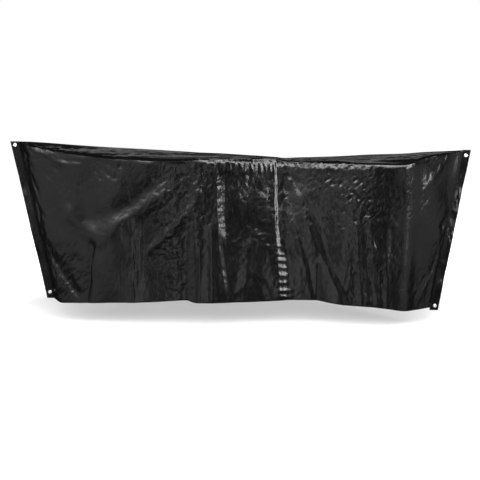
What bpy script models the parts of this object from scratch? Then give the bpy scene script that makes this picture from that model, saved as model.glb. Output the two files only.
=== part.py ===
"""Long bicycle cover: one draped woven sheet, two end seam strips and four corner eyelets.

Metres, +X along the ridge to the rear end, +Y to the far side, +Z up.
The origin is the point under the ridge where the dip of the roof rests.
"""
import math

import bmesh
import bpy
import numpy as np
from mathutils import Matrix, Vector

# Cloth
SHEET_THICKNESS = 0.0020
FOLD_HALF = 0.0032      # half width of the bend at the ridge and at the closed ends
BEND_NOSE = 0.0023      # how far the skin of a closed end stands beyond its line, at the top
CLEARANCE = 0.0003

# End seam strips, sealed flat beyond each closed end
STRIP_WIDTH = 0.050
STRIP_THICKNESS = 0.0024
STRIP_WAVE = 0.007
STRIP_ROWS = 20

# Pressed eyelets
EYELET_DIAMETER = 0.0250
EYELET_BORE = 0.0120
EYELET_BARREL = 0.0142
EYELET_RIM = 0.0010
EYELET_STEPS = 28
STRIP_HOLE = EYELET_BARREL + 2 * CLEARANCE + 0.0004

# Grid of the sheet: rows from the ridge to the hem on each side
ROOF_ROWS = 4
SHOULDER_ROWS = 3
WALL_ROWS = 20
SHOULDER_RADIUS = 0.030

# One row for each section, from the front end to the rear end.
# top_x, ridge_z: where the section starts on the ridge; drop, top_half: the roof's edge
# below and beside it; hem_x, hem_z, hem_half: where it ends; lift: how far its fold
# stands out of the wall (+) or into it (-) half way down; cuts: grid columns to the next.
SECTIONS = (
    # name            top_x   ridge_z  drop   top_half  hem_x   hem_z   hem_half  lift    cuts
    ("front_end",     -1.673,  0.1010, 0.004,  0.0032,  -1.456, -0.926,  0.0032,  0.000,  1),
    ("front_bend",    -1.669,  0.1010, 0.006,  0.0034,  -1.452, -0.930,  0.0036,  0.000,  1),
    ("front_cheek",   -1.610,  0.1000, 0.022,  0.0260,  -1.405, -0.948,  0.0400,  0.003,  2),
    ("front_collar",  -1.488,  0.0930, 0.045,  0.0700,  -1.310, -0.943,  0.0820, -0.002,  2),
    ("front_slack",   -1.300,  0.0785, 0.066,  0.1230,  -1.150, -0.934,  0.1250, -0.008,  3),
    ("front_sag",     -1.080,  0.0640, 0.066,  0.1730,  -0.985, -0.926,  0.1560,  0.008,  3),
    ("front_swell",   -0.880,  0.0535, 0.066,  0.2100,  -0.830, -0.921,  0.1720, -0.006,  3),
    ("front_bar",     -0.690,  0.0425, 0.061,  0.2320,  -0.670, -0.910,  0.1820,  0.005,  2),
    ("front_pleat",   -0.575,  0.0355, 0.050,  0.2280,  -0.590, -0.907,  0.1860, -0.008,  1),
    ("pleat_step",    -0.500,  0.0305, 0.041,  0.2200,  -0.515, -0.921,  0.1880,  0.006,  2),
    ("long_fold",     -0.370,  0.0255, 0.030,  0.1960,  -0.356, -0.922,  0.1860,  0.020,  2),
    ("long_hollow",   -0.270,  0.0190, 0.024,  0.1640,  -0.250, -0.920,  0.1760, -0.008,  2),
    ("dip_front",     -0.120,  0.0095, 0.019,  0.1100,  -0.090, -0.918,  0.1740, -0.014,  2),
    ("dip_rise",      -0.030,  0.0030, 0.015,  0.0820,  -0.015, -0.915,  0.1760, -0.002,  1),
    ("dip_crease",     0.000,  0.0010, 0.014,  0.0800,   0.034, -0.913,  0.1860,  0.026,  1),
    ("dip_fall",       0.024, -0.0030, 0.014,  0.0790,   0.120, -0.911,  0.1760,  0.002,  1),
    ("fan_valley",     0.048, -0.0045, 0.015,  0.0810,   0.236, -0.912,  0.1660, -0.020,  1),
    ("fan_crest",      0.078, -0.0035, 0.016,  0.0840,   0.345, -0.929,  0.1820,  0.008,  1),
    ("fan_low",        0.112, -0.0015, 0.018,  0.0900,   0.451, -0.944,  0.1660, -0.020,  2),
    ("rear_spread",    0.230,  0.0015, 0.026,  0.1200,   0.545, -0.950,  0.1720,  0.010,  2),
    ("rear_swell",     0.400,  0.0070, 0.035,  0.1560,   0.625, -0.957,  0.1660, -0.006,  3),
    ("rear_bar",       0.610,  0.0180, 0.049,  0.1880,   0.715, -0.968,  0.1520,  0.008,  3),
    ("rear_slack",     0.800,  0.0230, 0.052,  0.1780,   0.810, -0.982,  0.1300, -0.006,  3),
    ("rear_sag",       0.940,  0.0330, 0.026,  0.1340,   0.885, -0.986,  0.1040,  0.004,  2),
    ("rear_collar",    1.060,  0.0385, 0.012,  0.0840,   0.950, -0.984,  0.0700, -0.004,  2),
    ("rear_cheek",     1.150,  0.0420, 0.012,  0.0260,   1.000, -0.980,  0.0260,  0.003,  1),
    ("rear_bend",      1.196,  0.0460, 0.006,  0.0034,   1.007, -0.990,  0.0036,  0.000,  1),
    ("rear_end",       1.200,  0.0460, 0.004,  0.0032,   1.011, -0.992,  0.0032,  0.000,  0),
)

# Straight folds drawn across the sections: ends as x and z on the wall, how far they
# stand out (+) or in (-), their half width, and the walls that carry them (-1 near, 1 far).
FOLDS = (
    # name            x0      z0      x1      z1      height   spread  side
    ("belly_left",   -1.333, -0.330, -1.130, -0.470,  0.014,   0.055,  -1),
    ("belly_right",  -1.130, -0.470, -0.747, -0.170,  0.014,   0.050,  -1),
    ("belly_shade",  -1.129, -0.310, -0.760, -0.070, -0.012,   0.050,  -1),
    ("corner_low",   -1.453, -0.640, -1.298, -0.870, -0.008,   0.030,  -1),
    ("hem_left",     -1.190, -0.560, -1.230, -0.920, -0.007,   0.030,  -1),
    ("hem_middle",   -0.938, -0.480, -0.930, -0.930,  0.007,   0.035,  -1),
    ("short_top",    -1.495,  0.038, -1.380, -0.030,  0.006,   0.025,  -1),
    ("rear_top",      1.083, -0.009,  0.950, -0.180,  0.007,   0.028,  -1),
    ("rear_edge",     1.125, -0.400,  1.020, -0.730, -0.007,   0.030,  -1),
    ("far_rise",     -0.980, -0.120, -1.260, -0.720,  0.012,   0.060,   1),
    ("far_fall",     -0.760, -0.150, -0.620, -0.860, -0.010,   0.060,   1),
    ("far_slant",     0.250, -0.120,  0.560, -0.880,  0.011,   0.055,   1),
    ("far_corner",    1.060, -0.120,  0.900, -0.600, -0.008,   0.040,   1),
)

# Gentle unevenness of the hung sheet: waves per metre along and down, height, phase
RIPPLES = (
    # along   down   height  phase
    (1.70,    0.90,  0.0030, 0.4),
    (-2.60,   1.50,  0.0024, 1.9),
    (3.90,   -0.80,  0.0018, 3.1),
    (1.10,    3.40,  0.0018, 5.2),
)

# Seam strips: outer edge from top to bottom, and the two eyelet centres
STRIPS = (
    # name                top_x    top_z   low_x    low_z   inward
    ("front_seam_strip", -1.7230,  0.1020, -1.5060, -0.9230,  1),
    ("rear_seam_strip",   1.2500,  0.0470,  1.0600, -1.0040, -1),
)
EYELETS = (
    # name                 strip                x        z
    ("eyelet_front_top",  "front_seam_strip", -1.6930,  0.0780),
    ("eyelet_front_low",  "front_seam_strip", -1.4885, -0.8830),
    ("eyelet_rear_top",   "rear_seam_strip",   1.2185,  0.0100),
    ("eyelet_rear_low",   "rear_seam_strip",   1.0395, -0.9755),
)

BLACK_PE = ("black_woven_pe", (0.012, 0.012, 0.013, 1.0), 0.0, 0.34)
SEAM_PE = ("sealed_seam_pe", (0.011, 0.011, 0.012, 1.0), 0.0, 0.40)
METAL = ("eyelet_aluminium", (0.86, 0.87, 0.88, 1.0), 1.0, 0.28)


def clear_scene():
    for obj in list(bpy.data.objects):
        bpy.data.objects.remove(obj, do_unlink=True)


def make_collection(name, hidden=False):
    coll = bpy.data.collections.new(name)
    bpy.context.scene.collection.children.link(coll)
    coll.hide_render = hidden
    return coll


def make_material(spec):
    name, colour, metallic, roughness = spec
    mat = bpy.data.materials.new(name)
    mat.use_nodes = True
    shader = mat.node_tree.nodes["Principled BSDF"]
    shader.inputs["Base Color"].default_value = colour
    shader.inputs["Metallic"].default_value = metallic
    shader.inputs["Roughness"].default_value = roughness
    return mat


def add_object(name, bm, coll, material=None):
    mesh = bpy.data.meshes.new(name)
    bm.to_mesh(mesh)
    bm.free()
    mesh.shade_smooth()
    obj = bpy.data.objects.new(name, mesh)
    coll.objects.link(obj)
    if material is not None:
        mesh.materials.append(material)
    return obj


def smooth(t):
    t = min(max(t, 0.0), 1.0)
    return t * t * (3.0 - 2.0 * t)


def spline(xs, ys, x):
    """Monotone cubic through the table's points, so a fold doesn't overshoot."""
    xs, ys = np.asarray(xs, float), np.asarray(ys, float)
    h = np.diff(xs)
    d = np.diff(ys) / h
    m = np.zeros(len(xs))
    m[0], m[-1] = d[0], d[-1]
    for i in range(1, len(xs) - 1):
        if d[i - 1] * d[i] > 0.0:
            w1, w2 = 2 * h[i] + h[i - 1], h[i] + 2 * h[i - 1]
            m[i] = (w1 + w2) / (w1 / d[i - 1] + w2 / d[i])
    i = int(np.clip(np.searchsorted(xs, x, side="right") - 1, 0, len(xs) - 2))
    t = (x - xs[i]) / h[i]
    a, b = 2 * t**3 - 3 * t**2 + 1, t**3 - 2 * t**2 + t
    c, e = -2 * t**3 + 3 * t**2, t**3 - t**2
    return float(a * ys[i] + b * h[i] * m[i] + c * ys[i + 1] + e * h[i] * m[i + 1])


def section_columns():
    """The sections, with the columns between them read off smooth curves."""
    keys = ("top_x", "ridge_z", "drop", "top_half", "hem_x", "hem_z", "hem_half", "lift")
    index = np.arange(len(SECTIONS), dtype=float)
    values = {k: [row[i + 1] for row in SECTIONS] for i, k in enumerate(keys)}
    columns = []
    for i, row in enumerate(SECTIONS):
        for j in range(row[9]):
            at = i + j / row[9]
            columns.append({k: spline(index, values[k], at) for k in keys})
    columns.append({k: values[k][-1] for k in keys})
    return columns


def end_fade(x, z):
    """0 on the closed ends and along the ridge's two corners, 1 away from them."""
    down = min(max((0.10 - z) / 1.03, 0.0), 1.0)
    front = -1.673 + 0.217 * down
    rear = 1.200 - 0.189 * down
    return smooth((x - front) / 0.16) * smooth((rear - x) / 0.16)


def fold_offset(x, z, side):
    total = 0.0
    for _, x0, z0, x1, z1, height, spread, wall in FOLDS:
        if wall != side:
            continue
        ax, az = x1 - x0, z1 - z0
        length = math.hypot(ax, az)
        along = ((x - x0) * ax + (z - z0) * az) / length
        across = ((x - x0) * az - (z - z0) * ax) / length
        past = max(-along, along - length, 0.0)
        total += height * math.exp(-((across / spread) ** 2) - (past / (1.4 * spread)) ** 2)
    return total


def ripple(x, z, side):
    total = 0.0
    for along, down, height, phase in RIPPLES:
        total += height * math.sin(math.tau * (along * x + down * z) + phase + 1.7 * side)
    return total


def end_wave(z, top, low):
    """Sideways waver of a closed end: none by the eyelets, so the strip is flat there."""
    t = (z - low) / (top - low)
    window = smooth((t - 0.12) / 0.16) * smooth((0.88 - t) / 0.16)
    return STRIP_WAVE * window * math.sin(math.tau * 1.5 * t + 0.5)


def shift_at_end(x, z):
    """The sheet follows the waver of the strip it is sewn to, and loses it inwards."""
    front = smooth(1.0 - (x + 1.673 - 0.217 * (0.10 - z)) / 0.22)
    rear = smooth(1.0 - (1.200 - 0.189 * (0.05 - z) - x) / 0.22)
    return (front * end_wave(z, STRIPS[0][2], STRIPS[0][4])
            + rear * end_wave(z, STRIPS[1][2], STRIPS[1][4]))


def section_points(col, side):
    """Points of one section from the ridge to the hem on one side."""
    points = []
    ridge = col["ridge_z"]
    edge_z, edge_half = ridge - col["drop"], col["top_half"]
    hem_z, hem_half = col["hem_z"], col["hem_half"]
    height = edge_z - hem_z

    def place(half, z):
        down = (ridge - z) / (ridge - hem_z)
        x = col["top_x"] + (col["hem_x"] - col["top_x"]) * down
        return [x, half, z]

    points.append(place(0.0, ridge))
    points.append(place(FOLD_HALF, ridge - 0.0012))
    radius = min(SHOULDER_RADIUS, 0.45 * edge_half)
    for i in range(1, ROOF_ROWS):
        t = i / ROOF_ROWS
        half = FOLD_HALF + (edge_half - radius - FOLD_HALF) * t
        sag = 1.0 + 0.16 * math.sin(math.pi * t)
        points.append(place(half, ridge - 0.0012 - (col["drop"] * 0.72) * t * sag))
    for i in range(SHOULDER_ROWS):
        turn = math.radians(18 + 60 * i / (SHOULDER_ROWS - 1))
        half = edge_half - radius * (1.0 - math.sin(turn))
        points.append(place(half, edge_z - radius * (0.55 - 0.75 * math.cos(turn)) * 0.8))
    start = points[-1][2]
    for i in range(1, WALL_ROWS + 1):
        t = (i / WALL_ROWS) ** 0.94
        z = start + (hem_z - start) * t
        # the wall hangs a little inwards under a wide roof before it runs down to the hem
        half = edge_half + (hem_half - edge_half) * (1.0 - (1.0 - t) ** 1.7)
        grow = smooth(t / 0.22)
        half += col["lift"] * grow * (1.0 - 0.25 * t)
        points.append(place(half, z))
    out = []
    for x, half, z in points:
        fade = end_fade(x, z) * smooth((edge_z - z) / 0.10)
        extra = (fold_offset(x, z, side) + ripple(x, z, side)) * fade
        low = smooth((edge_z - z) / height - 0.15)
        extra += 0.004 * fade * low * math.sin(math.tau * 3.1 * x + 0.8 * side)
        y = side * max(half + extra, min(half, FOLD_HALF)) + shift_at_end(x, z)
        out.append((x, y, z))
    return out


def build_sheet(coll, material):
    columns = section_columns()
    bm = bmesh.new()
    rows = {-1: [], 1: []}
    for i, col in enumerate(columns):
        closed = i in (0, len(columns) - 1)
        near = section_points(col, -1)
        near = [(x, shift_at_end(x, z) if closed else y, z) for x, y, z in near]
        near_verts = [bm.verts.new(p) for p in near]
        rows[-1].append(near_verts)
        if closed:
            rows[1].append(near_verts)
            continue
        far = section_points(col, 1)
        rows[1].append([near_verts[0]] + [bm.verts.new(p) for p in far[1:]])
    for side, grid in rows.items():
        for a, b in zip(grid, grid[1:]):
            for k in range(len(a) - 1):
                quad = (a[k], a[k + 1], b[k + 1], b[k])
                bm.faces.new(quad if side < 0 else tuple(reversed(quad)))
    bmesh.ops.recalc_face_normals(bm, faces=bm.faces)
    obj = add_object("cover_sheet", bm, coll, material)
    shell = obj.modifiers.new("thickness", "SOLIDIFY")
    shell.thickness = SHEET_THICKNESS
    shell.offset = 0.0
    shell.use_even_offset = True
    return obj


def build_strip(spec, coll, cutters, material):
    name, top_x, top_z, low_x, low_z, inward = spec
    width = STRIP_WIDTH - BEND_NOSE - CLEARANCE
    bm = bmesh.new()
    grid = []
    for i in range(STRIP_ROWS + 1):
        t = i / STRIP_ROWS
        x = top_x + (low_x - top_x) * t
        z = top_z + (low_z - top_z) * t
        y = end_wave(z, top_z, low_z)
        flutter = 1.0 + 0.8 * math.sin(math.tau * 2.0 * t) * min(1.0, abs(y) / 0.002)
        inner_z = z + 0.0012 * (1.0 - 2.0 * t)
        grid.append([bm.verts.new((x, y * flutter, z)),
                     bm.verts.new((x + inward * width * 0.5, y * (1.0 + flutter) / 2, z)),
                     bm.verts.new((x + inward * width, y, inner_z))])
    for a, b in zip(grid, grid[1:]):
        for k in range(2):
            bm.faces.new((a[k], a[k + 1], b[k + 1], b[k]))
    bmesh.ops.recalc_face_normals(bm, faces=bm.faces)
    obj = add_object(name, bm, coll, material)
    shell = obj.modifiers.new("thickness", "SOLIDIFY")
    shell.thickness = STRIP_THICKNESS
    shell.offset = 0.0
    for eyelet, owner, x, z in EYELETS:
        if owner != name:
            continue
        cutter = bmesh.new()
        bmesh.ops.create_cone(
            cutter, cap_ends=True, segments=EYELET_STEPS, radius1=STRIP_HOLE / 2,
            radius2=STRIP_HOLE / 2, depth=0.03,
            matrix=Matrix.Translation((x, 0.0, z)) @ Matrix.Rotation(math.pi / 2, 4, "X"))
        tool = add_object(f"hole_{eyelet}", cutter, cutters)
        tool.display_type = "WIRE"
        tool.hide_render = True
        cut = obj.modifiers.new(f"hole_{eyelet}", "BOOLEAN")
        cut.operation = "DIFFERENCE"
        cut.solver = "EXACT"
        cut.object = tool
    return obj


def build_eyelet(spec, coll, material):
    """A pressed ring: two rims with rolled edges, joined by a barrel through the strip."""
    name, _, x, z = spec
    bore, barrel, outer = EYELET_BORE / 2, EYELET_BARREL / 2, EYELET_DIAMETER / 2
    seat = STRIP_THICKNESS / 2 + CLEARANCE
    face = seat + EYELET_RIM
    crown = (bore + outer) / 2
    profile = (
        (bore, -face + 0.0003), (bore, face - 0.0003), (bore + 0.0009, face + 0.0002),
        (crown, face + 0.0004), (outer - 0.0012, face + 0.0001), (outer, face - 0.0005),
        (outer - 0.0002, seat), (barrel, seat), (barrel, -seat), (outer - 0.0002, -seat),
        (outer, -face + 0.0005), (outer - 0.0012, -face - 0.0001), (crown, -face - 0.0004),
        (bore + 0.0009, -face - 0.0002),
    )
    bm = bmesh.new()
    verts = [bm.verts.new((r, h, 0.0)) for r, h in profile]
    for a, b in zip(verts, verts[1:] + verts[:1]):
        bm.edges.new((a, b))
    obj = add_object(name, bm, coll, material)
    obj.location = Vector((x, 0.0, z))
    turn = obj.modifiers.new("turn", "SCREW")
    turn.axis = "Y"
    turn.steps = turn.render_steps = EYELET_STEPS
    turn.use_merge_vertices = True
    turn.merge_threshold = 0.00001
    turn.use_smooth_shade = True
    return obj


def main():
    clear_scene()
    coll = make_collection("bicycle_cover")
    cutters = make_collection("cutters", hidden=True)
    build_sheet(coll, make_material(BLACK_PE))
    seam = make_material(SEAM_PE)
    for spec in STRIPS:
        build_strip(spec, coll, cutters, seam)
    metal = make_material(METAL)
    for spec in EYELETS:
        build_eyelet(spec, coll, metal)


if __name__ == "__main__":
    main()
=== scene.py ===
"""Looks of a long bicycle cover: draped glossy woven sheet, sealed end strips, eyelets.

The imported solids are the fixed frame. The sheet and the strips are modelled again here
at a finer grain, with the folds and puckers that the cloth hangs in, and the eyelets
are turned with rolled rims. Metres, +X to the rear end, +Y to the far wall, +Z up.
"""

import logging
import math
from dataclasses import dataclass, field, fields
from enum import Enum

import bmesh
import bpy
import numpy as np
from mathutils import Matrix, Vector


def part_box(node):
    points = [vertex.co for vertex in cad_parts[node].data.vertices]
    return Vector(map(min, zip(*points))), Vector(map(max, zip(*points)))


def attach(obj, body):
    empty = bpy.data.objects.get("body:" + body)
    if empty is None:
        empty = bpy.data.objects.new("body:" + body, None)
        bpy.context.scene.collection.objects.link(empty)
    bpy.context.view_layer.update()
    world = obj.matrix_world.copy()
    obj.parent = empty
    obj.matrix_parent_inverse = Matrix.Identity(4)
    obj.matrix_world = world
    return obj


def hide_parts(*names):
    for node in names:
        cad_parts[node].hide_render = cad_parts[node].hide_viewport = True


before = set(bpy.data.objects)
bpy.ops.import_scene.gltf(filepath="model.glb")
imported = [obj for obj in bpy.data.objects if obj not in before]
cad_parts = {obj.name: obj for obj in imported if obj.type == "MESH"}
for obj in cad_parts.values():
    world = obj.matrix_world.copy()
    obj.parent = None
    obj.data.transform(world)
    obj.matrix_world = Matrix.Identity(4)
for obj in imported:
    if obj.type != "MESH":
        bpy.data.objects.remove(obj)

LOG = logging.getLogger("bicycle_cover")
BODY = "root"

Grid = np.ndarray
Pair = tuple[float, float]
Place = tuple[float, float, float]
Colour = tuple[float, float, float, float]
Socket = bpy.types.NodeSocket

WHITE: Colour = (1.0, 1.0, 1.0, 1.0)

# Multipliers that scramble a cell's place and a seed into the cell's gradient.
HASH_ACROSS = 374761393
HASH_DOWN = 668265263
HASH_SEED = 974634777
HASH_MIX = 1274126177
HASH_BITS = 0xFFFFFFFF
TURN_BITS = 0xFFFF
# Brings the noise to about -1 to 1.
NOISE_GAIN = 1.5

# Seeds of the noise. A patch of crumple takes its place in the table times SEED_STEP.
SEED_STEP = 17
SEED_WAVER = 401
SEED_ROOF_BROAD = 501
SEED_ROOF_FINE = 601
SEED_STRIP_BROAD = 701
SEED_STRIP_FINE = 702

# The turned hem's rows: share of its depth inwards, and height over the sheet's low edge.
HEM_TURN: tuple[Pair, ...] = ((0.5, -0.0008), (1.0, 0.0030), (1.0, 0.0300))


class Wall(Enum):
    """Which side of the hung cover a point or a fold belongs to."""

    NEAR = -1
    FAR = 1


class Profile(Enum):
    """Cross shape of a fold, read across its line."""

    SOFT = "round ridge or trough"
    SHARP = "creased ridge or trough"
    STEP = "steep flank, then a slow return"


def smooth(t: Grid) -> Grid:
    """Return an ease from 0 to 1 as t goes from 0 to 1."""
    t = np.clip(t, 0.0, 1.0)
    return t * t * (3.0 - 2.0 * t)


def monotone(values: list[float], at: Grid) -> Grid:
    """Return a smooth curve through evenly spaced values, with no overshoot.

    Args:
        values: The curve's values at 0, 1, 2 and so on.
        at: Where to read it.

    Returns:
        The values there.
    """
    v = np.asarray(values, dtype=float)
    step = np.diff(v)
    slope = np.zeros_like(v)
    slope[0], slope[-1] = step[0], step[-1]
    a, b = step[:-1], step[1:]
    same = a * b > 0.0
    slope[1:-1][same] = 2.0 * a[same] * b[same] / (a[same] + b[same])
    i = np.clip(np.floor(at).astype(int), 0, len(v) - 2)
    t = at - i
    return ((2 * t**3 - 3 * t**2 + 1) * v[i] + (t**3 - 2 * t**2 + t) * slope[i]
            + (-2 * t**3 + 3 * t**2) * v[i + 1] + (t**3 - t**2) * slope[i + 1])


def ruffle(u: Grid, v: Grid, seed: int) -> Grid:
    """Return smooth gradient noise of about -1 to 1, with cells one unit wide.

    Args:
        u: First coordinate, in cells.
        v: Second coordinate, in cells.
        seed: Picks the pattern.

    Returns:
        The noise at each point.
    """
    iu, iv = np.floor(u).astype(np.int64), np.floor(v).astype(np.int64)
    fu, fv = u - iu, v - iv

    def corner(du: int, dv: int) -> Grid:
        """Return one corner's gradient times the way to it."""
        key = (iu + du) * HASH_ACROSS + (iv + dv) * HASH_DOWN + seed * HASH_SEED
        key = key & HASH_BITS
        key = ((key ^ (key >> 13)) * HASH_MIX) & HASH_BITS
        turn = ((key ^ (key >> 16)) & TURN_BITS) * (math.tau / (TURN_BITS + 1))
        return np.cos(turn) * (fu - du) + np.sin(turn) * (fv - dv)

    # The usual fifth power ease, which has no kink where two cells meet.
    su = fu * fu * fu * (fu * (fu * 6 - 15) + 10)
    sv = fv * fv * fv * (fv * (fv * 6 - 15) + 10)
    low = corner(0, 0) * (1 - su) + corner(1, 0) * su
    high = corner(0, 1) * (1 - su) + corner(1, 1) * su
    return NOISE_GAIN * (low * (1 - sv) + high * sv)


def creased(noise: Grid, wave: float, crease: float) -> Grid:
    """Return noise that folds over in a sharp crease wherever it passes 0.

    Args:
        noise: The plain noise.
        wave: How much of it stays.
        crease: How much of its absolute value is taken off.

    Returns:
        The creased noise at each point.
    """
    return wave * noise - crease * np.abs(noise)


@dataclass(frozen=True)
class Section:
    """One section of the hung sheet, from the ridge down to the hem.

    Attributes:
        name: What the section passes through.
        top_x: Place of its upper end along the cover.
        ridge_z: Height of the ridge.
        drop: How far the roof's edge lies below the ridge.
        top_half: Half width at the roof's edge.
        hem_x: Place of its lower end along the cover.
        hem_z: Height of the hem.
        hem_half: Half width at the hem.
        lift: How far the wall stands out (+) or in (-).
    """

    name: str
    top_x: float
    ridge_z: float
    drop: float
    top_half: float
    hem_x: float
    hem_z: float
    hem_half: float
    lift: float


@dataclass(frozen=True)
class Fold:
    """A fold along a bent line on one wall.

    Attributes:
        name: What the fold is.
        path: Its line, as places along the cover and heights.
        height: How far it stands out (+) or in (-).
        spread: How wide its flank is.
        profile: Its cross shape.
        back: How slowly a step returns behind its steep flank.
        run_out: How far a step runs on past its ends.
        wall: The wall that it is on.
    """

    name: str
    path: tuple[Pair, ...]
    height: float
    spread: float
    profile: Profile = Profile.SOFT
    back: float = 0.20
    run_out: float = 0.12
    wall: Wall = Wall.NEAR

    def nearest(self, x: Grid, z: Grid) -> tuple[Grid, Grid]:
        """Measure each point from the fold's line.

        Args:
            x: Places along the cover.
            z: Heights of the points.

        Returns:
            How far each point lies to the right of a line that falls, or above one that
            runs to the rear, and how far it lies past the line's ends.
        """
        away = np.full(x.shape, np.inf)
        side = np.zeros(x.shape)
        past = np.zeros(x.shape)
        last = len(self.path) - 2
        for i, ((x0, z0), (x1, z1)) in enumerate(zip(self.path, self.path[1:])):
            ax, az = x1 - x0, z1 - z0
            length = math.hypot(ax, az)
            along = ((x - x0) * ax + (z - z0) * az) / length
            right = ((z - z0) * ax - (x - x0) * az) / length
            inside = np.clip(along, 0.0, length)
            gap = np.hypot(x - x0 - ax * inside / length, z - z0 - az * inside / length)
            beyond = np.zeros(x.shape)
            if i == 0:
                beyond = np.maximum(beyond, -along)
            if i == last:
                beyond = np.maximum(beyond, along - length)
            nearer = gap < away
            away = np.where(nearer, gap, away)
            side = np.where(nearer, np.where(beyond > 0.0, right, np.sign(right) * gap), side)
            past = np.where(nearer, beyond, past)
        return side, past

    def offset(self, x: Grid, z: Grid) -> Grid:
        """Return how far the fold moves the cloth outwards.

        Args:
            x: Places along the cover.
            z: Heights of the points.

        Returns:
            The outward offset in metres at each point.
        """
        side, past = self.nearest(x, z)
        reach = np.abs(side) / self.spread
        spreads_on = 1.4
        run_on = spreads_on * self.spread
        if self.profile is Profile.STEP:
            shape = np.where(side > 0.0, np.minimum(reach, 1.0) * np.exp(-side / self.back), 0.0)
            fade = smooth(1.0 - past / self.run_out)
        elif self.profile is Profile.SHARP:
            # The line is blunted a little, and less the root of that it still peaks at 1.
            fall, blunt, blunt_root, further = 1.5, 0.02, 0.1414, 0.02
            shape = np.exp(-fall * (np.sqrt(reach * reach + blunt) - blunt_root))
            fade = np.exp(-((past / (run_on + further)) ** 2))
        else:
            shape = np.exp(-reach * reach)
            fade = np.exp(-((past / run_on) ** 2))
        return self.height * shape * fade


@dataclass(frozen=True)
class Pucker:
    """A patch of fine crumple on one wall.

    Attributes:
        name: Where the patch is.
        x: Its middle along the cover.
        z: Its middle's height.
        lean_deg: How far its creases lean from upright.
        reach_across: Half its size across the creases.
        reach_along: Half its size along the creases.
        across: Width of one crease.
        along: Length of one crease.
        height: How far the creases stand out.
        wall: The wall that it is on.
    """

    name: str
    x: float
    z: float
    lean_deg: float
    reach_across: float
    reach_along: float
    across: float
    along: float
    height: float
    wall: Wall = Wall.NEAR

    def frame(self, x: Grid, z: Grid) -> tuple[Grid, Grid]:
        """Return the points' places across and along the patch's creases."""
        lean = math.radians(self.lean_deg)
        dx, dz = x - self.x, z - self.z
        return (dx * math.cos(lean) - dz * math.sin(lean),
                dx * math.sin(lean) + dz * math.cos(lean))

    def mask(self, x: Grid, z: Grid) -> Grid:
        """Return the patch's weight, 1 in its middle and 0 outside."""
        u, v = self.frame(x, z)
        r = (u / self.reach_across) ** 2 + (v / self.reach_along) ** 2
        fall, power = 0.9, 1.5
        return np.exp(-fall * r ** power)

    def offset(self, x: Grid, z: Grid, seed: int) -> Grid:
        """Return the crumple's outward offset.

        Args:
            x: Places along the cover.
            z: Heights of the points.
            seed: Picks the pattern, so that no two patches match.

        Returns:
            The outward offset in metres at each point.
        """
        u, v = self.frame(x, z)
        u, v = u / self.across, v / self.along
        # Slow noise bends the creases, and a second layer of about half their size joins them.
        bend, slower, finer_across, finer_along = 0.55, 0.43, 1.9, 1.7
        warp = bend * ruffle(u * slower, v * slower, seed + 1)
        first = ruffle(u + warp, v, seed)
        second = ruffle(u * finer_across, v * finer_along + warp, seed + 2)
        shape = creased(first, 0.75, 0.95) + creased(second, 0.40, 0.35)
        mean = -0.45
        return self.height * self.mask(x, z) * (shape - mean)


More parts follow.
